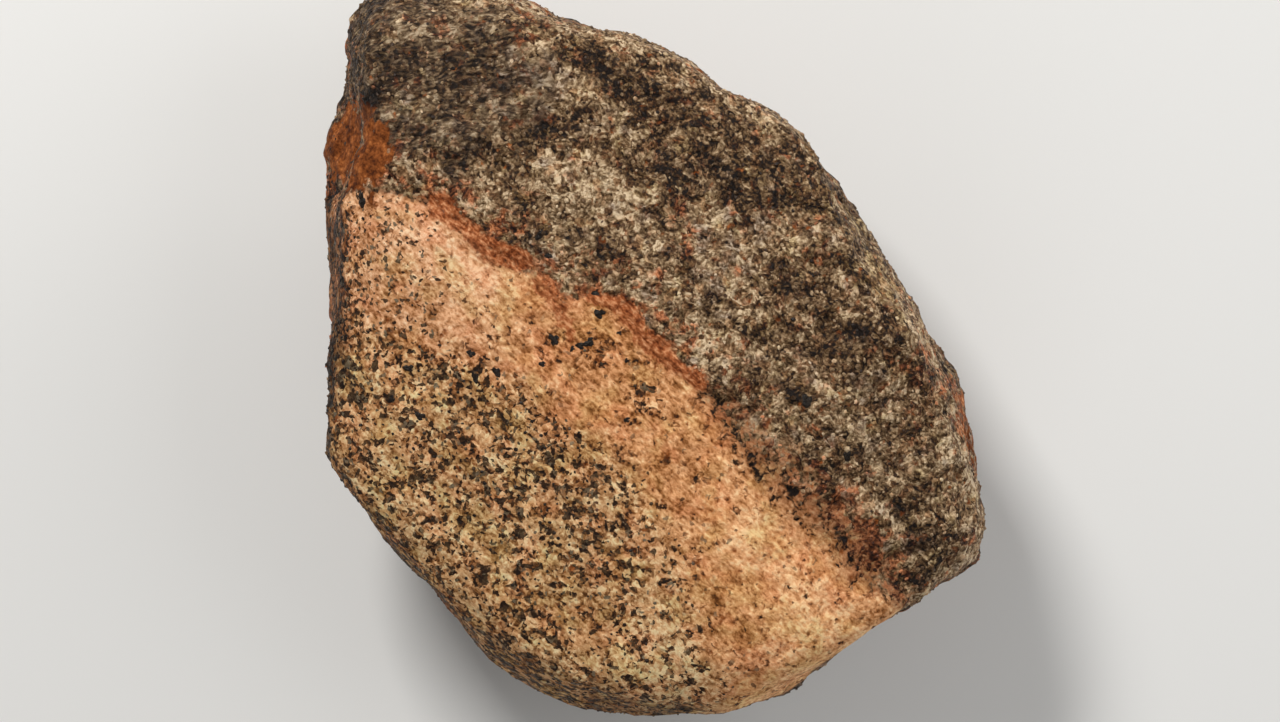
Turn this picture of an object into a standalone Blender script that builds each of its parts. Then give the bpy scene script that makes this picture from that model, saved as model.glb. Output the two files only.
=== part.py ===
"""A stone from Mars, weathered in a desert, lying on a small flat spot of its back.

The stone is one solid. Its form is worked out in the face view, which looks straight
down on its broad face: right and up are in millimetres from the middle of that view,
height is measured from the ground, and bearings run anticlockwise from right. The last
step turns the stone so that +X lies along its length, and puts the origin on the ground
under the middle of its box.
"""

import math
import random

import bmesh
import bpy
import numpy as np
from mathutils import Matrix, Vector, noise

MM = 0.001
NEARLY_ZERO = 1e-6

# Overall size, and the turn that lays the long diagonal of the face view along X
LENGTH = 375.0
WIDTH = 270.0
HEIGHT = 152.0
LONG_AXIS_TURN = math.radians(42.5)

# The core is the point that the body's facets are measured from
CORE = np.array([0.0, 0.0, 72.0])

# The resting spot is cut flat this far above the lowest facet, and the relief dies away
# towards it between these heights
FLAT_SPOT_HEIGHT = 1.2
RELIEF_HEIGHTS = (1.0, 12.0)

# The fine mesh that is shaped first, and what it is thinned to
ICOSPHERE_STEPS = 7
TRIANGLES = 9200

# The outline in the face view, corner by corner, anticlockwise from the right-hand end
OUTLINE = [
    (152, -70), (146, -28), (142, -3), (133, 12), (121, 32), (97, 70), (83, 89), (77, 102),
    (62, 114), (41, 121), (26, 135), (4, 145), (-29, 154), (-46, 164), (-57, 169),
    (-92, 172), (-117, 169), (-127, 161), (-130, 148), (-127, 130), (-129, 107), (-138, 87),
    (-135, 32), (-139, -36), (-135, -49), (-116, -76), (-96, -100), (-70, -133),
    (-48, -146), (-29, -155), (3, -160), (40, -159), (66, -143), (85, -127), (99, -119),
    (118, -101), (142, -91), (151, -86),
]
OUTLINE_SOFTNESS = math.radians(0.8)
OUTLINE_BEARINGS = 1440

# Away from the girdle the side wall loses the outline's small corners
WALL_SOFTNESS = math.radians(4)
WALL_CORNERS_FADE = 46.0

# What the rounding of the edges takes off the outline
OUTLINE_ALLOWANCE = 1.5

# The side wall is widest at the girdle, which rises and falls twice round the stone. The
# wall leans in above and below it, more and less steeply by turns.
GIRDLE_HEIGHT = 74.0
GIRDLE_WANDER = 10.0
GIRDLE_PHASE = 0.8
LEAN_ABOVE = math.radians(9)
LEAN_ABOVE_PHASE = 1.0
LEAN_BELOW = math.radians(17)
LEAN_BELOW_PHASE = 2.5
LEAN_WANDER = math.radians(5)

# Facets of the broad face: a point on each (right, up, height), the bearing it falls
# towards in degrees, and how steeply
FACE_FACETS = {
    "dusty face": ((0, 9, 150), 233, 9),
    "grainy face": ((0, 9, 150), 56, 9),
    "upper right slope": ((50, 88, 134), 52, 30),
    "top left block": ((-84, 110, 139), 112, 12),
    "left shoulder": ((-122, 30, 134), 182, 36),
    "lower left shoulder": ((-90, -92, 125), 226, 38),
    "bottom shoulder": ((-2, -142, 127), 272, 34),
    "lower right facet": ((92, -50, 137), 338, 16),
    "right end": ((132, -56, 122), 352, 40),
    "lower right shoulder": ((98, -106, 136), 303, 34),
    "top end": ((-80, 150, 124), 95, 42),
}

# Facets of the back, given the same way, each rising outwards from the flat spot
BACK_FACETS = {
    "flat spot": ((0, 0, 0), 0, 0),
    "back upper right": ((38, 34, 1), 50, 30),
    "back lower left": ((-34, -36, 1), 228, 27),
    "back right end": ((48, -36, 1), 322, 23),
    "back top left": ((-46, 38, 1), 138, 24),
    "back right chamfer": ((104, -10, 38), 8, 46),
    "back left chamfer": ((-100, -6, 34), 186, 44),
    "back top chamfer": ((-60, 116, 44), 88, 42),
    "back bottom chamfer": ((10, -114, 42), 276, 44),
}

# The higher these are, the crisper the edges between facets and the edge of the girdle
EDGE_CRISPNESS = 40.0
GIRDLE_CRISPNESS = 110.0

# Ledges on the face: the crack that each follows, its height, the width of its scarp and
# how far the raised side takes to sink back. The raised side is on the left of the path.
LEDGES = {
    "upper rusty ledge": {
        "path": [(-112, 77), (-90, 68), (-76, 58), (-65, 47), (-54, 43), (-43, 38), (-35, 26), (-29, 12)],
        "height": 3.6,
        "scarp": 9.0,
        "reach": 46.0,
    },
    "lower rusty ledge": {
        "path": [(-24, 30), (-16, 27), (-4, 23), (4, 11), (14, -1), (27, -12), (39, -19), (52, -28)],
        "height": 4.4,
        "scarp": 9.0,
        "reach": 52.0,
    },
    "worn boundary": {
        "path": [(40, -20), (58, -38), (69, -51), (87, -64), (104, -84), (115, -98)],
        "height": 2.0,
        "scarp": 13.0,
        "reach": 42.0,
    },
    "block ledge": {
        "path": [(-100, 84), (-92, 82), (-70, 89), (-47, 99), (-23, 111), (-8, 124)],
        "height": 2.2,
        "scarp": 8.0,
        "reach": 34.0,
    },
}

# The ledges and the dust are on what faces up: from none at the first of these upward
# shares of the normal to all at the second
FACING_UP = (0.35, 0.75)

# How far the ledges stray from their paths, over what width, and the share of a path over
# which each end dies away
LEDGE_WANDER = 5.0
LEDGE_WANDER_WIDTH = 23.0
LEDGE_SEED = 23
LEDGE_END = 0.2

# Hollows: middle (right, up, height), radius and depth of each
HOLLOWS = [
    ((-127, 92, 110), 26.0, 9.0),
    ((-112, 108, 128), 15.0, 3.0),
    ((62, 66, 132), 17.0, 2.2),
    ((84, 16, 138), 20.0, 2.4),
    ((42, 52, 143), 15.0, 1.8),
    ((12, 108, 133), 18.0, 2.2),
    ((112, -78, 124), 18.0, 3.0),
    ((-66, 132, 134), 19.0, 1.8),
]

# Pits beside the ledges where dark crystals have fallen out, given the same way
PITS = [
    ((-121, 69, 134), 8.0, 1.8),
    ((-19, 30, 151), 7.0, 1.6),
    ((-38, 9, 147), 7.0, 1.4),
    ((-9, 13, 149), 6.5, 1.3),
    ((-6, 0, 149), 6.5, 1.3),
]

# Low swells on the face, given the same way
SWELLS = [
    ((-21, 78, 146), 24.0, 2.0),
    ((40, 53, 142), 16.0, 1.8),
    ((40, 5, 148), 17.0, 1.8),
    ((84, -19, 140), 19.0, 2.4),
    ((135, -69, 122), 12.0, 2.0),
    ((-60, -40, 143), 34.0, 1.6),
    ((30, -90, 137), 30.0, 1.4),
]

# A hollow or swell dies away as a bell curve whose width is this share of its radius
BELL_SHARE = 0.62

# Shallow scoops over the sides and back, as wind and flight leave them
SCOOP_COUNT = 40
SCOOP_RADIUS = (16.0, 34.0)
SCOOP_DEPTH = (1.6, 4.2)
SCOOPS_BELOW = 92.0
SCOOP_SEED = 16

# Lumps all over: the width, height and seed of each size, and how much shows under dust
LUMPS = [(44.0, 2.6, 16), (21.0, 1.5, 17)]
DUSTY_SHARE = 0.35

# The dust lies on the left of this path over the face, and thins out across it
DUST_EDGE = [(130, -112), (60, -38), (0, 12), (-60, 50), (-150, 92)]
DUST_FADE = 8.0

STONE_COLOUR = (0.20, 0.135, 0.085, 1.0)
STONE_ROUGHNESS = 0.85


def smoothstep(low, high, value):
    share = np.clip((value - low) / (high - low), 0.0, 1.0)
    return share * share * (3.0 - 2.0 * share)


def outline_reach(bearings, softness):
    """How far the outline lies from the core at each bearing, with its corners softened."""
    corners = np.array(OUTLINE, float) - CORE[:2]
    angles = np.arctan2(corners[:, 1], corners[:, 0])
    order = np.argsort(angles)
    corners = corners[order]
    angles = angles[order]
    fine = np.linspace(-math.pi, math.pi, OUTLINE_BEARINGS, endpoint=False)
    side = np.searchsorted(angles, fine) % len(corners)
    start = corners[side - 1]
    along = corners[side] - start
    ray = np.stack([np.cos(fine), np.sin(fine)], axis=1)
    reach = np.cross(start, along) / np.cross(ray, along)
    spread = OUTLINE_BEARINGS // 16
    steps = np.arange(-spread, spread + 1)
    weights = np.exp(-0.5 * (steps * (fine[1] - fine[0]) / softness) ** 2)
    ring = np.concatenate([reach[-spread:], reach, reach[:spread]])
    softened = np.convolve(ring, weights / weights.sum(), mode="valid")
    return np.interp(bearings, fine, softened, period=2 * math.pi) + OUTLINE_ALLOWANCE


def facet_reach(rays, facet, upward):
    """How far each ray runs from the core before it meets a facet's plane."""
    point, bearing, slope = facet
    bearing = math.radians(bearing)
    slope = math.radians(slope)
    normal = np.array([
        math.cos(bearing) * math.sin(slope),
        math.sin(bearing) * math.sin(slope),
        math.cos(slope) * (1 if upward else -1),
    ])
    distance = normal @ (np.array(point) - CORE)
    approach = rays @ normal
    return np.where(approach > NEARLY_ZERO, distance / np.maximum(approach, NEARLY_ZERO), np.inf)


def softest(reaches, crispness):
    """The shortest of several reaches, with the change from one to the next rounded off."""
    closeness = sum((1.0 / reach) ** crispness for reach in reaches)
    return closeness ** (-1.0 / crispness)


def wall_reach(rays):
    """How far each ray runs before it meets the side wall, above or below the girdle."""
    flat = np.hypot(rays[:, 0], rays[:, 1])
    bearings = np.arctan2(rays[:, 1], rays[:, 0])
    outline = outline_reach(bearings, OUTLINE_SOFTNESS)
    girdle = GIRDLE_HEIGHT - CORE[2] + GIRDLE_WANDER * np.sin(2 * bearings + GIRDLE_PHASE)
    above_girdle = outline * rays[:, 2] / np.maximum(flat, NEARLY_ZERO) - girdle
    fading = smoothstep(0.0, WALL_CORNERS_FADE, np.abs(above_girdle))
    outline += fading * (outline_reach(bearings, WALL_SOFTNESS) - outline)
    lean_above = np.tan(LEAN_ABOVE + LEAN_WANDER * np.sin(3 * bearings + LEAN_ABOVE_PHASE))
    lean_below = np.tan(LEAN_BELOW + LEAN_WANDER * np.sin(4 * bearings + LEAN_BELOW_PHASE))
    above = flat + lean_above * rays[:, 2]
    below = flat - lean_below * rays[:, 2]
    reach_above = (outline + lean_above * girdle) / np.maximum(above, NEARLY_ZERO)
    reach_below = (outline - lean_below * girdle) / np.maximum(below, NEARLY_ZERO)
    reach_above = np.where(above > NEARLY_ZERO, reach_above, np.inf)
    reach_below = np.where(below > NEARLY_ZERO, reach_below, np.inf)
    return softest([reach_above, reach_below], GIRDLE_CRISPNESS)


def broken_block(rays):
    """The rough body: each ray from the core ends at the facet or wall that it meets first."""
    reaches = [facet_reach(rays, facet, True) for facet in FACE_FACETS.values()]
    reaches += [facet_reach(rays, facet, False) for facet in BACK_FACETS.values()]
    reaches.append(wall_reach(rays))
    return CORE + rays * softest(reaches, EDGE_CRISPNESS)[:, None]


def side_of_path(points, path):
    """Each point's distance from a path, positive on its left, and its place along it."""
    path = np.array(path, float)
    nearest = np.full(len(points), np.inf)
    signed = np.zeros(len(points))
    place = np.zeros(len(points))
    lengths = np.linalg.norm(np.diff(path, axis=0), axis=1)
    run = 0.0
    for start, end, length in zip(path[:-1], path[1:], lengths):
        along = (end - start) / length
        offset = points[:, :2] - start
        share = np.clip(offset @ along, 0.0, length)
        distance = np.linalg.norm(offset - share[:, None] * along, axis=1)
        side = np.where(np.cross(along, offset) >= 0.0, 1.0, -1.0)
        closer = distance < nearest
        nearest = np.where(closer, distance, nearest)
        signed = np.where(closer, side * distance, signed)
        place = np.where(closer, run + share, place)
        run += length
    return signed, place / run


def random_swells(points, width, seed):
    """Smooth random values from about -1 to 1 that change over the given width."""
    shift = Vector((0.0, 0.0, 100.0 * seed))
    return np.array([noise.noise(Vector(point) / width + shift) for point in points])


def ledge_relief(points, facing_up):
    relief = np.zeros(len(points))
    wander = LEDGE_WANDER * random_swells(points, LEDGE_WANDER_WIDTH, LEDGE_SEED)
    for ledge in LEDGES.values():
        signed, place = side_of_path(points, ledge["path"])
        signed += wander
        ends = smoothstep(0.0, LEDGE_END, place) * smoothstep(0.0, LEDGE_END, 1.0 - place)
        raised = smoothstep(-0.5 * ledge["scarp"], 0.5 * ledge["scarp"], signed)
        relief += ledge["height"] * ends * raised * np.exp(-(signed / ledge["reach"]) ** 2)
    return relief * facing_up


def round_relief(points, forms, sign):
    relief = np.zeros(len(points))
    for middle, radius, height in forms:
        distance = np.linalg.norm(points - np.array(middle, float), axis=1)
        relief += sign * height * np.exp(-(distance / (BELL_SHARE * radius)) ** 2)
    return relief


def scoop_relief(points):
    """Shallow scoops at seeded places on the sides and back."""
    chance = random.Random(SCOOP_SEED)
    low = np.flatnonzero(points[:, 2] < SCOOPS_BELOW)
    scoops = []
    for _ in range(SCOOP_COUNT):
        middle = points[low[chance.randrange(len(low))]]
        scoops.append((middle, chance.uniform(*SCOOP_RADIUS), chance.uniform(*SCOOP_DEPTH)))
    return round_relief(points, scoops, -1)


def lump_relief(points, facing_up):
    signed, _ = side_of_path(points, DUST_EDGE)
    dusty = smoothstep(-DUST_FADE, DUST_FADE, signed) * facing_up
    relief = sum(height * random_swells(points, width, seed) for width, height, seed in LUMPS)
    return relief * (1.0 - (1.0 - DUSTY_SHARE) * dusty)


def weather(points, normals):
    """Moves the body's points along their normals by the ledges, hollows, scoops and lumps."""
    facing_up = smoothstep(*FACING_UP, normals[:, 2])
    relief = ledge_relief(points, facing_up)
    relief += round_relief(points, SWELLS, 1)
    relief += round_relief(points, HOLLOWS + PITS, -1)
    relief += scoop_relief(points)
    relief += lump_relief(points, facing_up)
    relief *= smoothstep(*RELIEF_HEIGHTS, points[:, 2])
    return points + normals * relief[:, None]


def stone_mesh():
    """The whole stone as a fine mesh in the face view, in millimetres."""
    bm = bmesh.new()
    bmesh.ops.create_icosphere(bm, subdivisions=ICOSPHERE_STEPS, radius=1.0)
    half_size = np.array([LENGTH, WIDTH, HEIGHT]) / 2.0
    rays = np.array([vertex.co for vertex in bm.verts]) * half_size
    rays /= np.linalg.norm(rays, axis=1, keepdims=True)
    points = broken_block(rays)
    for vertex, point in zip(bm.verts, points):
        vertex.co = point
    bm.normal_update()
    normals = np.array([vertex.normal for vertex in bm.verts])
    for vertex, point in zip(bm.verts, weather(points, normals)):
        vertex.co = point
    mesh = bpy.data.meshes.new("meteorite")
    bm.to_mesh(mesh)
    bm.free()
    return mesh


def thinned(mesh):
    """The same form with fewer triangles: small where it turns, large where it is flat."""
    helper = bpy.data.objects.new("fine_stone", mesh)
    bpy.context.scene.collection.objects.link(helper)
    decimate = helper.modifiers.new("Fewer triangles", "DECIMATE")
    decimate.ratio = TRIANGLES / len(mesh.polygons)
    seen = helper.evaluated_get(bpy.context.evaluated_depsgraph_get())
    result = bpy.data.meshes.new_from_object(seen)
    bpy.data.objects.remove(helper)
    return result


def set_down(mesh):
    """Cuts the resting spot flat, turns the stone and brings it to its exact size."""
    bm = bmesh.new()
    bm.from_mesh(mesh)
    cut = bmesh.ops.bisect_plane(
        bm,
        geom=bm.verts[:] + bm.edges[:] + bm.faces[:],
        dist=0.01,
        plane_co=(0.0, 0.0, FLAT_SPOT_HEIGHT),
        plane_no=(0.0, 0.0, -1.0),
        clear_outer=True,
    )
    rim = [item for item in cut["geom_cut"] if isinstance(item, bmesh.types.BMEdge)]
    bmesh.ops.contextual_create(bm, geom=rim)
    bmesh.ops.triangulate(bm, faces=[face for face in bm.faces if len(face.verts) > 3])
    turn = Matrix.Rotation(LONG_AXIS_TURN, 3, "Z")
    bmesh.ops.rotate(bm, verts=bm.verts, cent=(0.0, 0.0, 0.0), matrix=turn)
    places = np.array([vertex.co for vertex in bm.verts])
    low = places.min(axis=0)
    high = places.max(axis=0)
    scale = np.array([LENGTH, WIDTH, HEIGHT]) / (high - low)
    middle = np.array([(low[0] + high[0]) / 2, (low[1] + high[1]) / 2, low[2]])
    for vertex, place in zip(bm.verts, (places - middle) * scale * MM):
        vertex.co = place
    bmesh.ops.recalc_face_normals(bm, faces=bm.faces)
    bm.to_mesh(mesh)
    bm.free()


def stone_material():
    material = bpy.data.materials.new("weathered stone")
    material.use_nodes = True
    shader = material.node_tree.nodes["Principled BSDF"]
    shader.inputs["Base Color"].default_value = STONE_COLOUR
    shader.inputs["Roughness"].default_value = STONE_ROUGHNESS
    shader.inputs["Metallic"].default_value = 0.0
    return material


def build():
    for old in list(bpy.data.objects):
        bpy.data.objects.remove(old)
    collection = bpy.data.collections.new("martian_meteorite")
    bpy.context.scene.collection.children.link(collection)
    mesh = thinned(stone_mesh())
    set_down(mesh)
    mesh.materials.append(stone_material())
    stone = bpy.data.objects.new("meteorite", mesh)
    collection.objects.link(stone)


build()
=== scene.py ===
"""The looks of a stone from Mars, weathered in a desert, seen from above as it lies."""
import math

import bmesh
import bpy
import numpy as np
from mathutils import Matrix, Vector, noise


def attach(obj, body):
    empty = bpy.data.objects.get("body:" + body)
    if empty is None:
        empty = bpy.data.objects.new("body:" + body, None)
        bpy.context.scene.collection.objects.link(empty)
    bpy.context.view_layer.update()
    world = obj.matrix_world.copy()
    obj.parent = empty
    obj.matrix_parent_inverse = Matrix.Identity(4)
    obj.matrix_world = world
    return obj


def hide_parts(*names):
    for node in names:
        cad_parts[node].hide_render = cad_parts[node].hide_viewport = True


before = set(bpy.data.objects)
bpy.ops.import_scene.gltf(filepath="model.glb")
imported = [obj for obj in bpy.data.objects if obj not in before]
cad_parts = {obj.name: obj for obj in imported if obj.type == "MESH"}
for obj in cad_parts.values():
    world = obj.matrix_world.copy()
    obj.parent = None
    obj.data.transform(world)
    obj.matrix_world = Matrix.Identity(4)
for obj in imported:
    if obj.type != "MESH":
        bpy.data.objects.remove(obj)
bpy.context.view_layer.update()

MM = 0.001


# The view
# The photograph looks straight down on the stone's broad face. One of its 1280 pixels is
# 0.445 mm at the height of the stone's rim, and its upward direction is turned a little
# from the stone's own axes.
PICTURE_WIDTH = 1280
PIXEL = 0.445 * MM
RIM_HEIGHT = 90 * MM
PICTURE_TURN = math.radians(42.5)
PICTURE_MIDDLE = Vector((14 * MM, 10 * MM, RIM_HEIGHT))
LENS = 200.0
SENSOR = 36.0

camera_distance = PICTURE_WIDTH * PIXEL * LENS / SENSOR
camera_data = bpy.data.cameras.new("camera")
camera_data.lens = LENS
camera_data.sensor_width = SENSOR
camera_data.clip_end = 30.0
camera = bpy.data.objects.new("camera", camera_data)
camera.location = PICTURE_MIDDLE + Vector((0.0, 0.0, camera_distance))
camera.rotation_euler = (0.0, 0.0, PICTURE_TURN)
bpy.context.scene.collection.objects.link(camera)
bpy.context.scene.camera = camera
bpy.context.scene.view_settings.view_transform = "Standard"


def place_in_room(right, up, height):
    """A point of the room from how far it is right of and above the picture's middle."""
    return PICTURE_MIDDLE + Matrix.Rotation(PICTURE_TURN, 3, "Z") @ Vector((right, up, height))


def add_lamp(name, place, size, power, colour):
    """A soft square lamp that looks at the stone."""
    data = bpy.data.lights.new(name, "AREA")
    data.size = size
    data.energy = power
    data.color = colour
    lamp = bpy.data.objects.new(name, data)
    lamp.location = place
    lamp.rotation_euler = (PICTURE_MIDDLE - place).to_track_quat("-Z", "Y").to_euler()
    lamp.visible_camera = False
    bpy.context.scene.collection.objects.link(lamp)


add_lamp("key light", place_in_room(-0.75, 1.35, 1.6), 0.6, 38.0, (1.0, 0.98, 0.95))
add_lamp("fill light", place_in_room(1.5, 0.2, 1.5), 1.4, 9.0, (1.0, 1.0, 1.0))
add_lamp("rim light", place_in_room(1.5, 1.1, 0.45), 0.8, 9.0, (1.0, 0.98, 0.95))
add_lamp("back light", place_in_room(-0.5, -1.9, 1.3), 1.4, 5.0, (1.0, 1.0, 1.0))

world = bpy.data.worlds.new("studio")
world.use_nodes = True
world.node_tree.nodes["Background"].inputs["Color"].default_value = (0.94, 0.93, 0.91, 1.0)
world.node_tree.nodes["Background"].inputs["Strength"].default_value = 0.24
bpy.context.scene.world = world

floor_mesh = bpy.data.meshes.new("floor")
bm = bmesh.new()
bmesh.ops.create_grid(bm, x_segments=1, y_segments=1, size=4.0)
bm.to_mesh(floor_mesh)
bm.free()
floor = bpy.data.objects.new("floor", floor_mesh)
bpy.context.scene.collection.objects.link(floor)
floor_finish = bpy.data.materials.new("pale floor")
floor_finish.use_nodes = True
floor_finish.node_tree.nodes["Principled BSDF"].inputs["Base Color"].default_value = (0.8, 0.8, 0.79, 1.0)
floor_finish.node_tree.nodes["Principled BSDF"].inputs["Roughness"].default_value = 0.6
floor_mesh.materials.append(floor_finish)


# The stone
# One piece of basalt, broken off long ago and weathered in a desert: a dark, coarse,
# crystalline rock, with dust baked onto the side that lay open and rust along its cracks.
VOXEL = 1.75 * MM


def plain_mesh(piece, name):
    """The piece as its modifiers leave it, as a mesh of its own."""
    seen = piece.evaluated_get(bpy.context.evaluated_depsgraph_get())
    mesh = bpy.data.meshes.new_from_object(seen)
    mesh.name = name
    return mesh


def rounded_stone():
    """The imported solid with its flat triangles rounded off, as one even mesh."""
    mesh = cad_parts["meteorite"].data.copy()
    bm = bmesh.new()
    bm.from_mesh(mesh)
    bmesh.ops.remove_doubles(bm, verts=bm.verts, dist=1e-6)
    bm.to_mesh(mesh)
    bm.free()
    stone = bpy.data.objects.new("stone", mesh)
    bpy.context.scene.collection.objects.link(stone)
    round_off = stone.modifiers.new("round off", "SUBSURF")
    round_off.levels = 1
    round_off.render_levels = 1
    remesh = stone.modifiers.new("even mesh", "REMESH")
    remesh.mode = "VOXEL"
    remesh.voxel_size = VOXEL
    remesh.adaptivity = 0.0
    soften = stone.modifiers.new("soften", "SMOOTH")
    soften.factor = 0.5
    soften.iterations = 6
    even = plain_mesh(stone, "stone")
    stone.modifiers.clear()
    stone.data = even
    return stone


# What lies where on the broad face, in millimetres right of and above the picture's middle.
# The dust ends at the first path, and below the second one it is worn through in many places.
DUST_EDGE = [(-150, 72), (-131, 76), (-111, 76), (-92, 69), (-77, 57), (-60, 44), (-42, 36), (-34, 28),
             (-21, 29), (-4, 22), (15, 0), (36, -18), (53, -38), (69, -56), (93, -80), (110, -106), (118, -125)]
DUST_BORDER = (2.5, 19.0)
DUST_BORDER_TURNS = (5, -45)
WORN_EDGE = [(-150, 9), (-131, 12), (-107, 7), (-76, 3), (-53, -13), (-31, -31), (-9, -46), (7, -71),
             (20, -97), (27, -124), (42, -165)]
WORN_BORDER = 13.0
WORN_SHARE = 0.30
LEFT_SHARE = 0.13
LEFT_END = (-104, -80)
RUST_SEAMS = [
    ([(-21, 28), (-10, 25), (0, 14), (11, 2), (26, -10)], 4.2, 1.0),
    ([(-90, 70), (-79, 60), (-66, 49), (-52, 45)], 5.0, 0.95),
    ([(-44, 35), (-37, 25), (-31, 12)], 4.0, 0.8),
]
# Dark lines: path, half width and how much darker. The second is painted shadow under the ledge below the block, and
# the fourth painted shade along the valley at the right; the others darken the tone along their paths.
DARK_SEAMS_AND_SHADE = [
    ([(-117, 136), (-90, 131), (-57, 124)], 5.0, 0.5),
    ([(-93, 84), (-71, 92), (-48, 101), (-24, 113)], 2.6, 0.55),
    ([(-18, 134), (18, 104), (58, 72)], 12.0, 0.55),
    ([(76, 8), (103, 11), (126, 0), (146, -12)], 6.0, 0.5),
    ([(124, -56), (120, -78), (128, -98)], 6.0, 0.6),
]
# Soft patches: what is painted, how much, middle, half sizes, turn in degrees.
PATCHES = [
    # the soil that fills the hollow at the left, and the shade above it
    ("soil", 1.25, (-127, 95), (15, 20), 10),
    ("tone", -0.9, (-120, 117), (5, 8), -20),
    # the block at the upper left, with a paler, greyer middle
    ("block", 1.3, (-95, 130), (52, 38), -20),
    ("red", 0.7, (-50, 151), (13, 12), 0),
    ("tone", 0.35, (-57, 119), (24, 12), 15),
    ("tone", 0.3, (-112, 150), (22, 8), -10),
    ("grey", 0.7, (-57, 117), (26, 15), 15),
    # lighter and darker ground on the crust
    ("tone", 0.65, (-20, 76), (28, 19), -15),
    ("tone", 0.3, (41, 53), (15, 20), -40),
    ("tone", 0.4, (7, 34), (13, 10), -30),
    ("grey", 0.6, (42, 49), (18, 24), -30),
    ("tone", 0.25, (40, 5), (15, 9), -35),
    ("tone", 0.35, (87, -20), (22, 14), -45),
    ("tone", 0.35, (137, -60), (15, 22), 20),
    ("tone", -0.35, (95, 70), (14, 34), 38),
    ("tone", -0.5, (71, -15), (7, 7), 0),
    ("tone", -0.45, (-45, 54), (8, 7), 0),
    ("grey", 0.9, (-45, 54), (9, 8), 0),
    ("grey", 0.7, (105, -22), (9, 19), 10),
    ("olive", 0.8, (98, 52), (12, 44), 35),
    ("red", 0.9, (129, -8), (13, 19), 20),
    ("red", 0.9, (94, -80), (24, 15), -48),
    ("grey", 0.9, (122, -78), (9, 22), 10),
    ("red", 0.6, (18, 60), (9, 12), 0),
    ("red", 0.7, (-58, 62), (14, 10), -35),
    # the smooth pinkish facet at the right end, laid with rust colour; its paleness is partly painted light on a facet
    # that faces the right
    ("rust", 0.7, (146, -24), (4, 19), 8),
    # lighter dust along the middle of its band, and pale dust at the lower end, where the tone along the lower right
    # rim is painted light that lifts the shade of the rim turning down
    ("tone", 0.55, (-84, 44), (30, 14), -45),
    ("tone", -0.25, (-30, 5), (20, 12), -40),
    ("tone", 0.55, (64, -96), (44, 22), -50),
    ("tone", 0.4, (58, -136), (34, 12), 27),
    ("dust", 1.8, (72, -132), (50, 15), 28),
    ("tone", 0.65, (14, -132), (17, 24), 0),
    ("tone", -0.25, (-60, -20), (16, 12), -30),
    # the brown strip down the left rim
    ("tone", -0.35, (-138, 25), (9, 66), 0),
    ("dust", -0.7, (-139, 22), (10, 62), 0),
    ("red", 0.5, (-139, 22), (10, 62), 0),
    ("specks", 0.16, (-132, 20), (10, 62), 0),
    # where specks lie closer, and where there are none
    ("specks", 0.07, (-40, -60), (36, 30), -40),
    ("specks", 0.30, (-22, 0), (7, 6), 0),
    ("specks", 0.34, (4, -17), (10, 8), 0),
    ("specks", -0.20, (-30, -118), (16, 10), -40),
    ("specks", -0.14, (8, -108), (12, 22), 10),
]
HIDDEN_DUST = (-0.55, 1.5)
HIDDEN_SPECKS = 0.24


def smoothstep(low, high, value):
    share = np.clip((value - low) / (high - low), 0.0, 1.0)
    return share * share * (3.0 - 2.0 * share)


def from_path(seen, path):
    """How far each point is from a path, in mm, and whether it lies to the path's right."""
    nearest = np.full(len(seen), np.inf)
    right = np.zeros(len(seen), dtype=bool)
    for start, end in zip(path, path[1:]):
        start, step = np.array(start, dtype=float), np.subtract(end, start).astype(float)
        reach = seen - start
        share = np.clip(reach @ step / (step @ step), 0.0, 1.0)
        distance = np.linalg.norm(reach - share[:, None] * step, axis=1)
        closer = distance < nearest
        nearest[closer] = distance[closer]
        right[closer] = (step[0] * reach[:, 1] - step[1] * reach[:, 0] < 0.0)[closer]
    return nearest, right


def noise_at(points, width, seed):
    """Smooth noise from about -1 to 1, its bumps the given width in mm."""
    return np.array([noise.noise(Vector(p) / width + Vector((seed, seed, seed))) for p in points])


def points_and_normals(mesh):
    """The places of a mesh's points, and which way the surface faces there."""
    both = []
    for what in ("co", "normal"):
        values = np.empty(len(mesh.vertices) * 3)
        mesh.vertices.foreach_get(what, values)
        both.append(values.reshape(-1, 3))
    return both


def seen_places(points):
    """Where the camera sees each point, in mm right of and above the picture's middle."""
    offset = points - np.array(PICTURE_MIDDLE)
    turn = np.array([[math.cos(PICTURE_TURN), -math.sin(PICTURE_TURN)],
                     [math.sin(PICTURE_TURN), math.cos(PICTURE_TURN)]])
    closer = camera_distance / (camera_distance - offset[:, 2])
    return offset[:, :2] @ turn * closer[:, None] / MM


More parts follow.
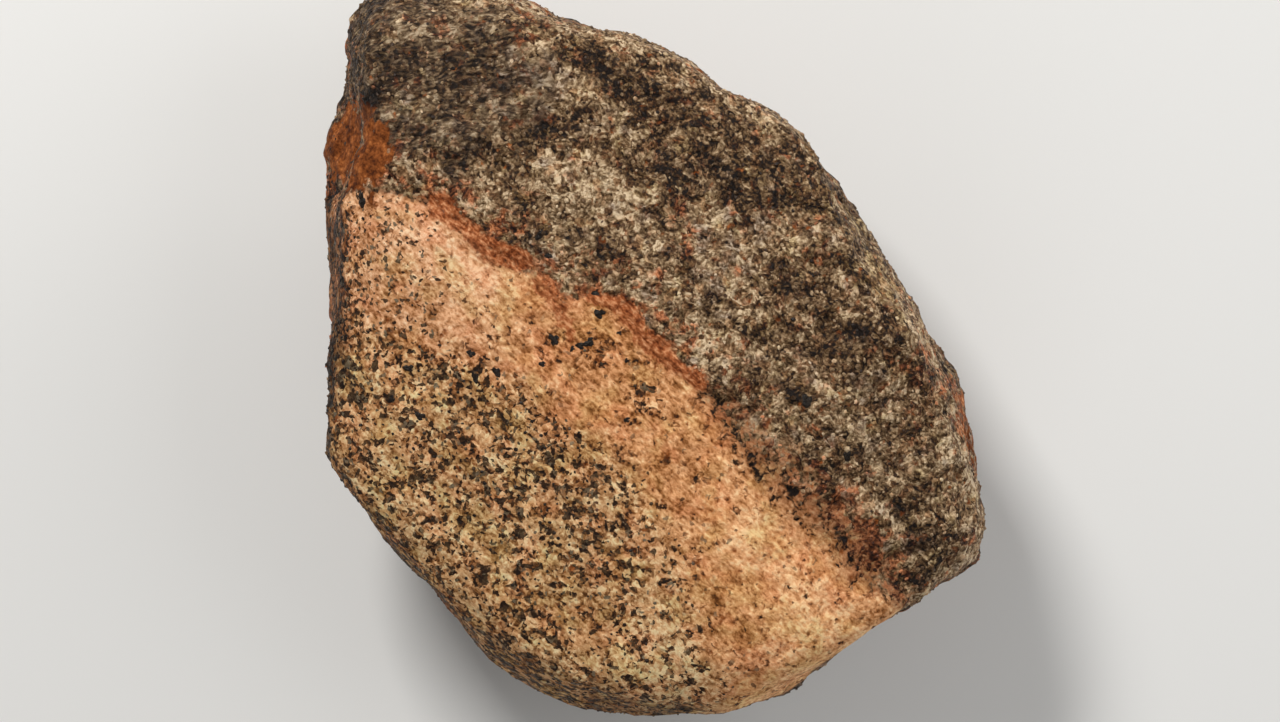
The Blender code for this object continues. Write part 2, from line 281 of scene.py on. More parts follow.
def paint(stone):
    """Lay what covers the stone on its mesh, one value a point for each kind of cover, with painted light and shade
    laid into its tone.
    """
    mesh = stone.data
    count = len(mesh.vertices)
    points, normals = points_and_normals(mesh)
    seen = seen_places(points)
    points = points / MM
    facing = smoothstep(0.02, 0.24, normals[:, 2])

    broad = noise_at(points, 34.0, 3.0)
    middling = noise_at(points, 13.0, 8.0)
    small = noise_at(points, 5.5, 21.0)
    wander = 2.2 * middling + 1.3 * small

    distance, below = from_path(seen, DUST_EDGE)
    border = DUST_BORDER[1] + (DUST_BORDER[0] - DUST_BORDER[1]) * smoothstep(DUST_BORDER_TURNS[1],
                                                                           DUST_BORDER_TURNS[0], seen[:, 1])
    into_dust = np.where(below, distance, -distance) + wander
    dust = np.clip(into_dust / border, -1.0, 1.0)

    distance, below = from_path(seen, WORN_EDGE)
    into_worn = np.where(below, distance, -distance) + 2.0 * wander
    worn = smoothstep(-WORN_BORDER, WORN_BORDER, into_worn)
    left = smoothstep(LEFT_END[1], LEFT_END[0], seen[:, 0])
    reddened = smoothstep(-30.0, -3.0, into_dust) * smoothstep(2.0, -2.0, into_dust)
    # The flanks that face the left of the picture are painted darker and given more specks, and those that face the
    # right are painted lighter: painted shade and painted light set by which way the surface turns.
    rightward = normals[:, 0] * math.cos(PICTURE_TURN) + normals[:, 1] * math.sin(PICTURE_TURN)
    flank = smoothstep(0.75, 0.35, normals[:, 2])
    left_flank_shade = flank * smoothstep(0.0, -0.5, rightward)
    right_flank_light = flank * smoothstep(0.0, 0.5, rightward)
    cover = {
        "specks": WORN_SHARE * worn + 0.5 * LEFT_SHARE * left * (1.0 - worn) + 0.012 + 0.1 * left_flank_shade,
        "pins": LEFT_SHARE * left * (1.0 - worn) + 0.05 * worn + 0.012,
        "tone": 0.3 * broad + 0.2 * middling + 0.3 * reddened + 0.5 * right_flank_light - 0.4 * left_flank_shade,
        "red": 0.8 * reddened,
        "grey": np.zeros(count),
        "olive": worn,
        "cream": smoothstep(-20.0, -100.0, seen[:, 0]) * (1.0 - worn),
        "soil": np.zeros(count),
        "block": np.zeros(count),
        "rust": np.zeros(count),
        "dust": -0.9 * smoothstep(0.55, 0.25, normals[:, 2]) * (1.0 - left_flank_shade),
    }
    for kind, amount, middle, half_sizes, degrees in PATCHES:
        angle = math.radians(degrees)
        reach = seen - np.array(middle)
        along = (reach[:, 0] * math.cos(angle) + reach[:, 1] * math.sin(angle)) / half_sizes[0]
        across = (reach[:, 1] * math.cos(angle) - reach[:, 0] * math.sin(angle)) / half_sizes[1]
        cover[kind] += amount * smoothstep(1.35, 0.45, np.hypot(along, across) + 0.4 * middling + 0.15 * small)
    for path, half_width, amount in RUST_SEAMS:
        distance, _ = from_path(seen, path)
        cover["rust"] += amount * smoothstep(1.5, 0.5, (distance + 1.2 * wander) / half_width)
    # dark seams and painted shade darken the tone along their lines
    for path, half_width, amount in DARK_SEAMS_AND_SHADE:
        distance, _ = from_path(seen, path)
        cover["tone"] -= amount * smoothstep(1.6, 0.3, (distance + 1.2 * wander) / half_width)

    hidden = {
        "dust": np.clip(HIDDEN_DUST[0] + HIDDEN_DUST[1] * (0.8 * broad + 0.5 * middling), -1.0, 1.0),
        "specks": HIDDEN_SPECKS * smoothstep(-0.3, 0.4, middling),
        "pins": 0.08 + 0.08 * middling,
        "tone": 0.3 * noise_at(points, 21.0, 14.0),
        "red": smoothstep(0.15, 0.5, noise_at(points, 26.0, 31.0)),
        "grey": smoothstep(0.1, 0.5, noise_at(points, 24.0, 37.0)),
        "olive": smoothstep(0.0, 0.5, noise_at(points, 30.0, 41.0)),
        "cream": np.zeros(count),
        "soil": 0.9 * smoothstep(0.30, 0.60, noise_at(points * (0.6, 0.6, 1.3), 26.0, 47.0)),
        "block": np.zeros(count),
        "rust": 0.8 * smoothstep(0.22, 0.50, noise_at(points * (0.5, 0.5, 1.6), 24.0, 53.0)),
    }
    cover["dust"] = np.clip(dust + cover["dust"], -1.0, 1.0)
    layers = {kind: facing * values + (1.0 - facing) * hidden[kind] for kind, values in cover.items()}
    layers["bare"] = -layers["dust"] - 1.5 * layers["soil"] - 1.5 * layers["rust"]
    for kind, values in layers.items():
        layer = mesh.attributes.new(kind, "FLOAT", "POINT")
        layer.data.foreach_set("value", values.astype(np.float32))


# The relief of the crust: blunt lumps and shallow pits where crystals have broken out, which
# the baked dust evens out.
HIGHEST = 0.66


def crust_relief():
    """A Geometry Nodes tree that sinks pits and the gaps between lumps into the stone."""
    tree = bpy.data.node_groups.new("crust relief", "GeometryNodeTree")
    tree.interface.new_socket("Geometry", in_out="INPUT", socket_type="NodeSocketGeometry")
    for name, default in (("Lump width", 6.0 * MM), ("Lump depth", 3.0 * MM), ("Hollow width", 19.0 * MM),
                          ("Hollow depth", 7.0 * MM), ("Pit spacing", 13.0 * MM), ("Pit depth", 1.3 * MM),
                          ("Dusty share", 0.35)):
        socket = tree.interface.new_socket(name, in_out="INPUT", socket_type="NodeSocketFloat")
        socket.default_value = default
    tree.interface.new_socket("Finish", in_out="INPUT", socket_type="NodeSocketMaterial")
    tree.interface.new_socket("Geometry", in_out="OUTPUT", socket_type="NodeSocketGeometry")
    given = tree.nodes.new("NodeGroupInput").outputs

    def maths(operation, *values):
        step = tree.nodes.new("ShaderNodeMath")
        step.operation = operation
        for socket, value in zip(step.inputs, values):
            if isinstance(value, bpy.types.NodeSocket):
                tree.links.new(value, socket)
            else:
                socket.default_value = value
        return step.outputs["Value"]

    def sunk_between(width, depth):
        """How deep the ground lies between bumps of a width."""
        bumps = tree.nodes.new("ShaderNodeTexNoise")
        tree.links.new(maths("DIVIDE", 1.0, width), bumps.inputs["Scale"])
        bumps.inputs["Detail"].default_value = 1.0
        bumps.inputs["Roughness"].default_value = 0.6
        return maths("MULTIPLY", maths("MAXIMUM", maths("SUBTRACT", HIGHEST, bumps.outputs["Fac"]), 0.0), depth)

    between_lumps = maths("ADD", sunk_between(given["Lump width"], given["Lump depth"]),
                          sunk_between(given["Hollow width"], given["Hollow depth"]))

    pits = tree.nodes.new("ShaderNodeTexVoronoi")
    tree.links.new(maths("DIVIDE", 1.0, given["Pit spacing"]), pits.inputs["Scale"])
    in_pit = tree.nodes.new("ShaderNodeMapRange")
    in_pit.interpolation_type = "SMOOTHSTEP"
    in_pit.inputs["From Min"].default_value = 0.42
    in_pit.inputs["From Max"].default_value = 0.12
    tree.links.new(pits.outputs["Distance"], in_pit.inputs["Value"])
    pit = maths("MULTIPLY", in_pit.outputs["Result"], given["Pit depth"])

    dust = tree.nodes.new("GeometryNodeInputNamedAttribute")
    dust.data_type = "FLOAT"
    dust.inputs["Name"].default_value = "dust"
    bare = tree.nodes.new("ShaderNodeMapRange")
    bare.interpolation_type = "SMOOTHSTEP"
    bare.inputs["From Min"].default_value = 0.6
    bare.inputs["From Max"].default_value = -0.4
    tree.links.new(dust.outputs["Attribute"], bare.inputs["Value"])
    tree.links.new(given["Dusty share"], bare.inputs["To Min"])
    bare.inputs["To Max"].default_value = 1.0
    depth = maths("MULTIPLY", maths("ADD", between_lumps, pit), bare.outputs["Result"])

    inward = tree.nodes.new("ShaderNodeVectorMath")
    inward.operation = "SCALE"
    tree.links.new(tree.nodes.new("GeometryNodeInputNormal").outputs["Normal"], inward.inputs["Vector"])
    tree.links.new(maths("MULTIPLY", depth, -1.0), inward.inputs["Scale"])
    sink = tree.nodes.new("GeometryNodeSetPosition")
    tree.links.new(given["Geometry"], sink.inputs["Geometry"])
    tree.links.new(inward.outputs["Vector"], sink.inputs["Offset"])
    real = tree.nodes.new("GeometryNodeRealizeInstances")
    tree.links.new(sink.outputs["Geometry"], real.inputs["Geometry"])
    cover = tree.nodes.new("GeometryNodeSetMaterial")
    tree.links.new(real.outputs["Geometry"], cover.inputs["Geometry"])
    tree.links.new(given["Finish"], cover.inputs["Material"])
    out = tree.nodes.new("NodeGroupOutput")
    tree.links.new(cover.outputs["Geometry"], out.inputs["Geometry"])
    return tree


def run_tree(piece, tree, values):
    """Run a Geometry Nodes tree on a piece with the named values, and keep its plain mesh."""
    modifier = piece.modifiers.new(tree.name, "NODES")
    modifier.node_group = tree
    for item in tree.interface.items_tree:
        if item.in_out == "INPUT" and item.name in values:
            modifier[item.identifier] = values[item.name]
    made = plain_mesh(piece, piece.name)
    piece.modifiers.clear()
    piece.data = made


# The finish of the stone: crystals of the bare rock, dust over them, rust and soil on top, and painted shade browning
# the darkest tone.
def shade(red, green, blue):
    """A colour as a screen shows it, from 0 to 255, as the shader wants it."""
    return tuple(((c / 255 + 0.055) / 1.055) ** 2.4 for c in (red, green, blue)) + (1.0,)


class Finish:
    """A material that is built up node by node."""

    def __init__(self, name):
        self.material = bpy.data.materials.new(name)
        self.material.use_nodes = True
        self.tree = self.material.node_tree
        self.shader = self.tree.nodes["Principled BSDF"]
        self.place = self.node("ShaderNodeTexCoord", {}, "Object")

    def node(self, kind, inputs, output, **settings):
        """Add a node with its settings and inputs, and give back one of its outputs."""
        made = self.tree.nodes.new(kind)
        for name, value in settings.items():
            setattr(made, name, value)
        for name, value in inputs.items():
            if isinstance(value, bpy.types.NodeSocket):
                self.tree.links.new(value, made.inputs[name])
            else:
                made.inputs[name].default_value = value
        return made.outputs[output]

    def maths(self, operation, *values):
        return self.node("ShaderNodeMath", dict(enumerate(values)), "Value", operation=operation)

    def add(self, base, field, gain, middle=0.5):
        """A value with a field of 0 to 1 added on, which lowers it where the field is below its middle."""
        if isinstance(gain, bpy.types.NodeSocket):
            return self.maths("MULTIPLY_ADD", self.maths("SUBTRACT", field, middle), gain, base)
        return self.maths("ADD", base, self.maths("MULTIPLY_ADD", field, gain, -middle * gain))

    def painted(self, name):
        return self.node("ShaderNodeAttribute", {}, "Fac", attribute_name=name)

    def bumps(self, width, detail=2.0, roughness=0.5, at=None, output="Fac"):
        return self.node("ShaderNodeTexNoise", {"Vector": at or self.place, "Scale": 1.0 / width, "Detail": detail,
                                                "Roughness": roughness}, output)

    def drawn_out(self, direction, stretch):
        """Places for a pattern that is drawn out along one direction of the picture."""
        return self.node("ShaderNodeMapping", {"Vector": self.place, "Rotation": (0.0, 0.0, PICTURE_TURN + direction),
                                               "Scale": (stretch, 1.0, 1.0)}, "Vector", vector_type="TEXTURE")

    def between(self, value, low, high, to_low=0.0, to_high=1.0):
        return self.node("ShaderNodeMapRange", {"Value": value, "From Min": low, "From Max": high, "To Min": to_low,
                                                "To Max": to_high}, "Result", interpolation_type="SMOOTHSTEP")

    def over(self, share, below, above, blend="MIX"):
        """One colour laid over another."""
        return self.node("ShaderNodeMix", {0: share, 6: below, 7: above}, 2, data_type="RGBA", blend_type=blend,
                         clamp_factor=True)

    def tinted(self, share, colour, tint):
        return self.over(share, colour, tint, "MULTIPLY")

    def ramp(self, value, stops):
        made = self.tree.nodes.new("ShaderNodeValToRGB")
        self.tree.links.new(value, made.inputs["Fac"])
        elements = made.color_ramp.elements
        while len(elements) < len(stops):
            elements.new(0.5)
        for element, (position, colour) in zip(elements, stops):
            element.position = position
            element.color = shade(*colour)
        return made.outputs["Color"]

    def parts(self, colour):
        split = self.tree.nodes.new("ShaderNodeSeparateColor")
        self.tree.links.new(colour, split.inputs["Color"])
        return split.outputs["Red"], split.outputs["Green"], split.outputs["Blue"]

    def swirled(self, width, reach, at=None):
        """Places for a pattern that is pushed about by as much as the reach, in swirls of a width."""
        shift = self.bumps(width, detail=1.0, at=at, output="Color")
        shift = self.node("ShaderNodeVectorMath", {0: shift, 1: (0.5, 0.5, 0.5)}, "Vector", operation="SUBTRACT")
        shift = self.node("ShaderNodeVectorMath", {0: shift, "Scale": reach}, "Vector", operation="SCALE")
        return self.node("ShaderNodeVectorMath", {0: at or self.place, 1: shift}, "Vector", operation="ADD")

    def crystals(self, width, at):
        """Cells of the given width, and two random numbers for each."""
        cell = self.node("ShaderNodeTexVoronoi", {"Vector": at, "Scale": 1.0 / width}, "Color")
        return self.parts(cell)[:2]


ROCK = [(0.06, (20, 9, 1)), (0.26, (58, 37, 15)), (0.48, (102, 77, 50)), (0.70, (147, 121, 90)),
        (0.92, (194, 168, 134)), (1.0, (216, 192, 158))]
BLOCK = [(0.08, (24, 13, 4)), (0.30, (56, 39, 22)), (0.50, (90, 70, 49)), (0.72, (127, 106, 80)),
         (0.95, (176, 155, 128))]
DUST = [(0.02, (96, 52, 18)), (0.24, (154, 98, 53)), (0.50, (203, 142, 93)), (0.76, (235, 176, 125)),
        (1.0, (255, 212, 160))]
SPECK = [(0.1, (20, 9, 2)), (0.4, (46, 30, 14)), (0.65, (76, 60, 38)), (0.85, (106, 94, 74))]
RUST = [(0.1, (92, 38, 12)), (0.36, (134, 68, 32)), (0.58, (172, 98, 56)), (0.95, (222, 156, 110))]
SOIL = [(0.08, (56, 22, 3)), (0.32, (96, 47, 14)), (0.6, (136, 74, 32)), (0.95, (188, 116, 62))]
RED_BROWN = shade(240, 152, 98)
PINK_GREY = shade(228, 208, 192)
LILAC_GREY = shade(204, 206, 228)
OLIVE = shade(222, 222, 166)
YELLOWED = (0.76, 0.91, 0.96, 1.0)
PINKISH = (1.0, 0.88, 0.86, 1.0)
STRAW = (0.90, 0.95, 0.84, 1.0)
THIN_DUST = shade(178, 166, 162)
CREAM = (0.96, 1.03, 1.2, 1.0)
STAINED = shade(168, 146, 124)


def rock_tints(finish, colour, kind):
    """The bare rock's colour, crystal by crystal and patch by patch redder, greyer or greener."""
    reddish, greyish, greenish = finish.parts(finish.bumps(9.0 * MM, output="Color"))
    red = finish.add(finish.maths("MULTIPLY", finish.painted("red"), 0.5), kind, 0.7, middle=0.0)
    red = finish.between(finish.add(red, reddish, 2.2), 0.62, 1.1)
    grey = finish.between(finish.add(finish.maths("MULTIPLY", finish.painted("grey"), 0.5), greyish, 3.0), 0.1, 0.7)
    olive = finish.between(finish.add(finish.maths("MULTIPLY", finish.painted("olive"), 0.5), greenish, 3.0), 0.1, 0.7)
    pink = finish.between(kind, 0.3, 0.1)
    colour = finish.tinted(pink, colour, PINK_GREY)
    colour = finish.tinted(finish.maths("MULTIPLY", red, 0.8), colour, RED_BROWN)
    colour = finish.tinted(finish.maths("MULTIPLY", grey, 0.65), colour, LILAC_GREY)
    return finish.tinted(finish.maths("MULTIPLY", olive, 0.4), colour, OLIVE)


def weathered_basalt():
    """The skin of the whole stone."""
    finish = Finish("weathered basalt")
    maths, add, painted, bumps = finish.maths, finish.add, finish.painted, finish.bumps
    between, over, tinted, ramp = finish.between, finish.over, finish.tinted, finish.ramp

    swirls = finish.swirled(8.0 * MM, 4.0 * MM)
    ragged = finish.swirled(1.6 * MM, 1.6 * MM, at=swirls)
    large, large_kind = finish.crystals(3.2 * MM, ragged)
    fine, fine_kind = finish.crystals(1.5 * MM, ragged)
    # The tone holds the rock's own lighter and darker patches together with painted light and shade: darker left
    # flanks, lighter right flanks and lower rim, the shadow under the ledge, and shade in the valley and above the
    # soil.
    tone = painted("tone")
    patchy = bumps(7.0 * MM)
    grit = bumps(1.6 * MM, at=swirls)
    downhill = finish.drawn_out(math.radians(-43), 2.0)
    drawn = bumps(1.8 * MM, detail=3.0, roughness=0.6, at=downhill)

    # bare rock
    lightness = add(0.5, large, 0.50)
    lightness = add(lightness, fine, 0.25)
    lightness = add(lightness, grit, 1.6)
    lightness = add(lightness, patchy, 0.95)
    lightness = add(lightness, bumps(22.0 * MM), 0.9)
    lightness = maths("MULTIPLY_ADD", tone, 0.36, lightness)
    rock = rock_tints(finish, ramp(lightness, ROCK), large_kind)

    # the block's softer grain, a little drawn out sideways
    sideways = finish.swirled(6.0 * MM, 5.0 * MM, at=finish.drawn_out(math.radians(8), 1.7))
    streaks = add(0.49, bumps(1.8 * MM, detail=2.0, at=sideways), 1.9)
    streaks = add(streaks, large, 0.30)
    streaks = add(streaks, patchy, 0.8)
    streaks = maths("MULTIPLY_ADD", tone, 0.36, streaks)
    block = rock_tints(finish, ramp(streaks, BLOCK), large_kind)
    rock = over(between(painted("block"), 0.15, 0.9), rock, block)

    # dust
    speckled = painted("specks")
    coarse = between(speckled, 0.05, 0.26)
    dust_tone = add(0.53, drawn, 1.5)
    dust_tone = add(dust_tone, large, maths("MULTIPLY_ADD", coarse, 0.30, 0.12))
    dust_tone = add(dust_tone, fine, maths("MULTIPLY_ADD", coarse, 0.20, 0.24))
    dust_tone = add(dust_tone, grit, 0.8)
    dust_tone = add(dust_tone, patchy, 0.9)
    dust_tone = maths("MULTIPLY_ADD", tone, 0.36, dust_tone)
    yellow_share = maths("MULTIPLY", painted("olive"), between(bumps(9.0 * MM), 0.25, 0.65, 0.45, 1.0))
    dust = tinted(yellow_share, ramp(dust_tone, DUST), YELLOWED)
    pinkish, straw, _ = finish.parts(bumps(15.0 * MM, output="Color"))
    dust = tinted(between(pinkish, 0.45, 0.65), dust, PINKISH)
    dust = tinted(between(straw, 0.45, 0.65), dust, STRAW)
    dust = tinted(painted("cream"), dust, CREAM)
    dust = tinted(between(painted("dust"), 0.9, 0.0), dust, THIN_DUST)

    # specks where the dust is worn through, from stained dust to black crystal
    speck_chance = add(0.5, large, 0.70)
    speck_chance = add(speck_chance, fine, 0.35)
    speck_chance = add(speck_chance, bumps(2.4 * MM, at=downhill), 0.8)
    speck_chance = add(speck_chance, bumps(9.0 * MM), 0.7)
    limit = finish.node("ShaderNodeMapRange", {"Value": speckled, "From Max": 0.6, "To Min": 0.0, "To Max": 0.62},
                        "Result")
    into_speck = maths("SUBTRACT", limit, speck_chance)
    stained = between(into_speck, -0.24, 0.0)
    in_speck = maths("MAXIMUM", between(into_speck, -0.06, 0.12),
                     between(maths("SUBTRACT", painted("pins"), fine_kind), -0.03, 0.03))
    ground = tinted(maths("MULTIPLY", stained, 0.7), dust, STAINED)
    ground = over(maths("MULTIPLY", in_speck, 0.92), ground, ramp(add(0.5, fine, 0.9), SPECK))

    # where the dust stops
    edge = painted("dust")
    edge = add(add(edge, large, 0.8), fine, 0.7)
    edge = add(add(edge, patchy, 1.6), grit, 1.0)
    dust_share = between(edge, -0.3, 0.3)
    ground = over(dust_share, rock, ground)

    # rust along the seams and soil in the hollow
    rust = ramp(add(add(0.5, drawn, 2.2), grit, 0.8), RUST)
    rust_share = between(add(add(painted("rust"), bumps(3.0 * MM, detail=3.0), 1.8), fine, 0.3), 0.25, 0.85)
    ground = over(maths("MULTIPLY", rust_share, 0.88), ground, rust)
    soil = ramp(add(add(0.47, bumps(2.2 * MM, detail=4.0, roughness=0.7), 1.8), patchy, 1.0), SOIL)
    soil_share = between(add(painted("soil"), bumps(5.0 * MM, detail=4.0), 2.4), 0.3, 0.6)
    ground = over(soil_share, ground, soil)
    shadowed = maths("MULTIPLY", between(tone, -0.45, -1.1), 0.6)
    ground = tinted(shadowed, ground, shade(84, 64, 46))
    finish.tree.links.new(ground, finish.shader.inputs["Base Color"])

    # gloss and fine relief
    plain_dust = maths("MULTIPLY", dust_share, maths("SUBTRACT", 1.0, in_speck))
    covered = maths("MAXIMUM", maths("MAXIMUM", plain_dust, soil_share), rust_share)
    roughness = maths("MAXIMUM", maths("MULTIPLY", covered, 0.95), maths("MULTIPLY_ADD", fine, -0.3, 0.78))
    finish.tree.links.new(roughness, finish.shader.inputs["Roughness"])
    finish.shader.inputs["Specular IOR Level"].default_value = 0.2
    height = add(maths("MULTIPLY", grit, 1.0 * MM), bumps(2.8 * MM, at=swirls), 1.6 * MM)
    height = maths("MULTIPLY", height, maths("MULTIPLY_ADD", covered, -0.7, 1.0))
    height = maths("MULTIPLY_ADD", drawn, 0.45 * MM, height)
    height = maths("MULTIPLY_ADD", in_speck, maths("MULTIPLY", dust_share, -0.3 * MM), height)
    bump = finish.node("ShaderNodeBump", {"Height": height, "Distance": 1.0, "Strength": 1.0}, "Normal")
    finish.tree.links.new(bump, finish.shader.inputs["Normal"])
    return finish.material


stone = rounded_stone()
paint(stone)
run_tree(stone, crust_relief(), {"Finish": weathered_basalt()})
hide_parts("meteorite")
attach(stone, "root")


# The loose-standing crystals
# Pale feldspar and dark pyroxene, which weather out of the crust as blunt grains of 1 to 3 mm.
# They are part of the stone and stand a little above it.
def crystal_scatter():
    """A Geometry Nodes tree that sets blunt crystals into a stone where a kind of cover allows."""
    tree = bpy.data.node_groups.new("crystal scatter", "GeometryNodeTree")
    tree.interface.new_socket("Geometry", in_out="INPUT", socket_type="NodeSocketGeometry")
    for name, default in (("Spacing", 3.2 * MM), ("Most a square metre", 80000.0), ("Width", 2.8 * MM),
                          ("Cover where none", -0.2), ("Cover where most", 0.6)):
        tree.interface.new_socket(name, in_out="INPUT", socket_type="NodeSocketFloat").default_value = default
    tree.interface.new_socket("Cover", in_out="INPUT", socket_type="NodeSocketString").default_value = "bare"
    tree.interface.new_socket("Seed", in_out="INPUT", socket_type="NodeSocketInt").default_value = 4
    tree.interface.new_socket("Finish", in_out="INPUT", socket_type="NodeSocketMaterial")
    tree.interface.new_socket("Geometry", in_out="OUTPUT", socket_type="NodeSocketGeometry")
    given = tree.nodes.new("NodeGroupInput").outputs

    def node(kind, inputs, **settings):
        made = tree.nodes.new(kind)
        for name, value in settings.items():
            setattr(made, name, value)
        for name, value in inputs.items():
            if isinstance(value, bpy.types.NodeSocket):
                tree.links.new(value, made.inputs[name])
            else:
                made.inputs[name].default_value = value
        return made.outputs

    cover = node("GeometryNodeInputNamedAttribute", {"Name": given["Cover"]}, data_type="FLOAT")["Attribute"]
    allowed = node("ShaderNodeMapRange", {"Value": cover, "From Min": given["Cover where none"],
                                          "From Max": given["Cover where most"]})["Result"]
    height = node("ShaderNodeSeparateXYZ", {0: node("GeometryNodeInputPosition", {})["Position"]})["Z"]
    off_ground = node("ShaderNodeMath", {0: height, 1: 5.0 * MM}, operation="GREATER_THAN")["Value"]
    allowed = node("ShaderNodeMath", {0: allowed, 1: off_ground}, operation="MULTIPLY")["Value"]
    spots = node("GeometryNodeDistributePointsOnFaces", {
        "Mesh": given["Geometry"], "Distance Min": given["Spacing"], "Density Max": given["Most a square metre"],
        "Density Factor": allowed, "Seed": given["Seed"]}, distribute_method="POISSON")
    crystal = node("GeometryNodeMeshIcoSphere", {"Radius": 0.5, "Subdivisions": 1})["Mesh"]
    turn = node("FunctionNodeRandomValue", {1: (6.28, 6.28, 6.28), "Seed": given["Seed"]},
                data_type="FLOAT_VECTOR")[0]
    size = node("FunctionNodeRandomValue", {0: (0.4, 0.4, 0.4), 1: (1.2, 1.2, 1.2), "Seed": given["Seed"]},
                data_type="FLOAT_VECTOR")[0]
    size = node("ShaderNodeVectorMath", {0: size, "Scale": given["Width"]}, operation="SCALE")["Vector"]
    sunk = node("ShaderNodeMath", {0: given["Width"], 1: -0.22}, operation="MULTIPLY")["Value"]
    sunk = node("ShaderNodeVectorMath", {0: spots["Normal"], "Scale": sunk}, operation="SCALE")["Vector"]
    points = node("GeometryNodeSetPosition", {"Geometry": spots["Points"], "Offset": sunk})["Geometry"]
    grains = node("GeometryNodeInstanceOnPoints", {"Points": points, "Instance": crystal, "Rotation": turn,
                                                   "Scale": size})["Instances"]
    random_shade = node("FunctionNodeRandomValue", {"Seed": given["Seed"]}, data_type="FLOAT")[1]
    grains = node("GeometryNodeStoreNamedAttribute", {"Geometry": grains, "Name": "crystal", "Value": random_shade},
                  data_type="FLOAT", domain="INSTANCE")["Geometry"]
    real = node("GeometryNodeRealizeInstances", {"Geometry": grains})["Geometry"]
    flat = node("GeometryNodeSetShadeSmooth", {"Geometry": real, "Shade Smooth": False})["Geometry"]
    finished = node("GeometryNodeSetMaterial", {"Geometry": flat, "Material": given["Finish"]})["Geometry"]
    tree.links.new(finished, tree.nodes.new("NodeGroupOutput").inputs["Geometry"])
    return tree


def crystal_finish(name, stops, lightness_middle, spread):
    """Crystals of one kind, each a little lighter or darker, tinted as the crust round them."""
    finish = Finish(name)
    own = finish.painted("crystal")
    lightness = finish.add(lightness_middle, own, spread)
    lightness = finish.add(lightness, finish.bumps(0.8 * MM), 0.5)
    lightness = finish.add(lightness, finish.bumps(7.0 * MM), 1.0)
    # the crust's tone round each crystal, painted light and shade included
    lightness = finish.maths("MULTIPLY_ADD", finish.painted("tone"), 0.36, lightness)
    colour = rock_tints(finish, finish.ramp(lightness, stops), own)
    finish.tree.links.new(colour, finish.shader.inputs["Base Color"])
    finish.shader.inputs["Roughness"].default_value = 0.5
    finish.shader.inputs["Specular IOR Level"].default_value = 0.3
    bump = finish.node("ShaderNodeBump", {"Height": finish.bumps(0.6 * MM), "Distance": 0.15 * MM}, "Normal")
    finish.tree.links.new(bump, finish.shader.inputs["Normal"])
    return finish.material


scatter = crystal_scatter()
for name, values in (
    ("pale_crystals", {"Finish": crystal_finish("pale feldspar", ROCK, 0.64, 0.5), "Seed": 4}),
    ("brown_crystals", {"Finish": crystal_finish("brown pyroxene", ROCK, 0.46, 0.5), "Seed": 9}),
    ("dark_crystals", {"Finish": crystal_finish("dark pyroxene", SPECK, 0.45, 0.8), "Seed": 15, "Cover": "specks",
                       "Cover where none": 0.04, "Cover where most": 0.4, "Spacing": 2.6 * MM, "Width": 2.2 * MM}),
):
    crystals = bpy.data.objects.new(name, stone.data.copy())
    bpy.context.scene.collection.objects.link(crystals)
    run_tree(crystals, scatter, values)
    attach(crystals, "root")

# The black crystals
# A few large crystals of black pyroxene, up to 7 mm across, that stand in the dusty side and
# along its edge: blunt, faceted and a little glossy.
BLACK_CRYSTALS = [
    # right, up, half length, half width, turn in degrees
    (-122.8, 71.2, 3.4, 3.0, 70), (-19.6, 30.7, 3.1, 2.7, 20), (-19.1, 21.4, 2.8, 2.4, -20),
    (-39.2, 9.8, 3.7, 2.5, 100), (-23.0, 8.6, 2.9, 2.2, 25), (-26.8, 6.6, 2.3, 1.9, -15),
    (-30.7, 4.9, 1.6, 1.1, 50), (-9.3, 12.9, 1.5, 1.1, 0), (-6.2, -0.4, 1.4, 1.0, 60), (-5.8, -26.7, 1.7, 1.2, 15),
    (-102.3, -3.1, 2.9, 1.6, -8), (-73.0, -7.1, 3.2, 1.9, 95), (-63.2, -4.5, 2.8, 1.9, 100),
    (-97.9, -24.5, 2.8, 1.9, -30), (-110.4, -17.4, 2.2, 1.6, 40), (-74.8, 4.0, 2.4, 1.5, -35),
    (-44.0, -1.3, 1.9, 1.4, 0), (74.2, -16.7, 3.4, 2.4, 80), (91.7, -42.8, 2.8, 2.0, 100),
    (-44.5, 54.7, 3.6, 2.8, 30), (-40.5, 47.0, 2.2, 1.7, -40),
]
CRYSTAL_LOBES = [(0.0, -0.2, 0.8), (0.45, 0.4, 0.6), (-0.5, 0.25, 0.5)]
CRYSTAL_THICKNESS = 0.6
CRYSTAL_SUNK = 0.45


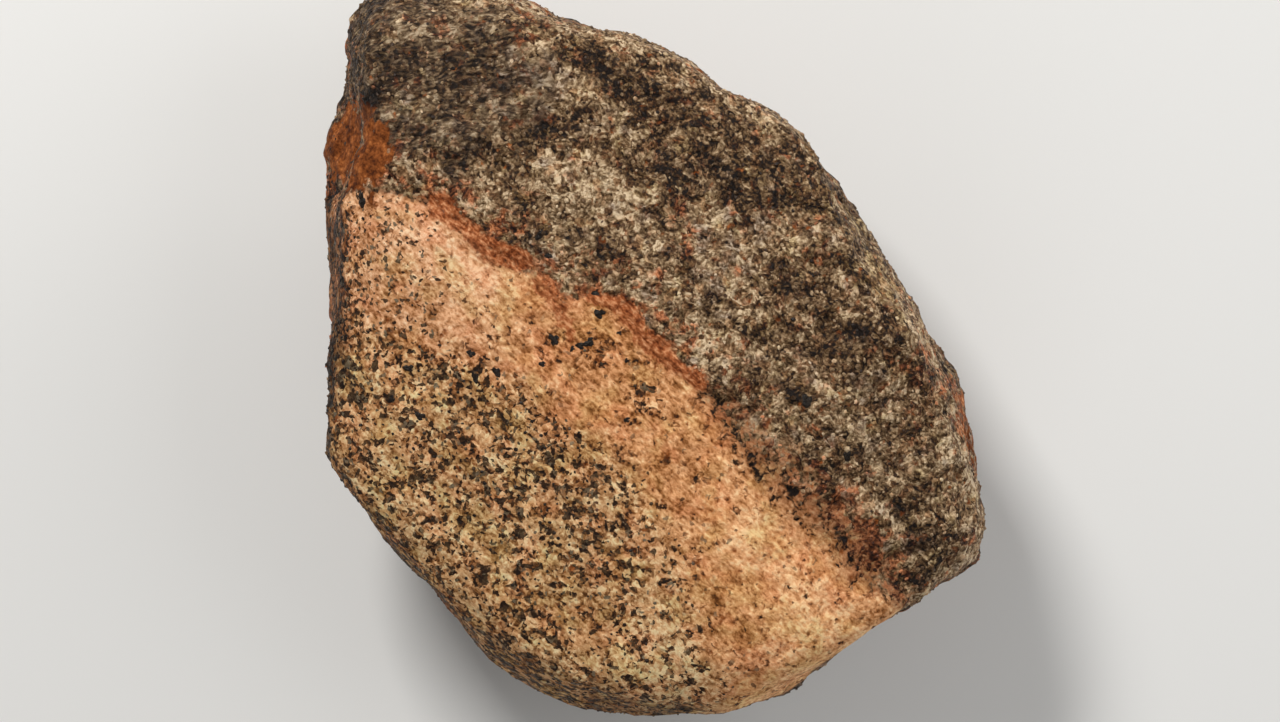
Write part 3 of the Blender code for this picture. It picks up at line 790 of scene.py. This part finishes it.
def black_crystals(stone):
    """Faceted crystals set into the stone at the places where the largest ones are seen."""
    points, normals = points_and_normals(stone.data)
    seen = seen_places(points)
    seen[normals[:, 2] < 0.1] = np.inf
    bm = bmesh.new()
    for number, (right, up, half_length, half_width, degrees) in enumerate(BLACK_CRYSTALS):
        nearest = int(np.argmin(np.hypot(seen[:, 0] - right, seen[:, 1] - up)))
        out = (Vector(normals[nearest]) + Vector((0.0, 0.0, 0.6))).normalized()
        along = Vector((1.0, 0.0, 0.0))
        along.rotate(Matrix.Rotation(PICTURE_TURN + math.radians(degrees), 3, "Z"))
        along = (along - along.dot(out) * out).normalized()
        turned = Matrix((along, out.cross(along), out)).transposed()
        for aside, forward, share in CRYSTAL_LOBES:
            thickness = CRYSTAL_THICKNESS * half_width * share
            middle = Vector((forward * half_length, aside * half_width, -CRYSTAL_SUNK * thickness))
            for vertex in bmesh.ops.create_icosphere(bm, subdivisions=2, radius=1.0)["verts"]:
                rough = 1.0 + 0.45 * noise.noise(vertex.co * 1.5 + Vector((7.0 * number, 3.0 * forward, 0.0)))
                lobe = Vector((vertex.co.x * half_length, vertex.co.y * half_width, vertex.co.z * thickness / share))
                vertex.co = Vector(points[nearest]) + turned @ (middle + lobe * rough * share) * MM
    mesh = bpy.data.meshes.new("black_crystals")
    bm.to_mesh(mesh)
    bm.free()
    piece = bpy.data.objects.new("black_crystals", mesh)
    bpy.context.scene.collection.objects.link(piece)
    return piece


def black_pyroxene():
    finish = Finish("black pyroxene")
    colour = finish.ramp(finish.add(finish.bumps(1.2 * MM, detail=3.0), finish.bumps(0.4 * MM), 0.6),
                         [(0.3, (10, 6, 3)), (0.6, (30, 20, 12)), (0.9, (66, 54, 42))])
    finish.tree.links.new(colour, finish.shader.inputs["Base Color"])
    finish.shader.inputs["Roughness"].default_value = 0.42
    finish.shader.inputs["Specular IOR Level"].default_value = 0.22
    bump = finish.node("ShaderNodeBump", {"Height": finish.bumps(0.9 * MM, detail=3.0), "Distance": 0.5 * MM},
                       "Normal")
    finish.tree.links.new(bump, finish.shader.inputs["Normal"])
    return finish.material


crystals = black_crystals(stone)
crystals.data.materials.append(black_pyroxene())
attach(crystals, "root")
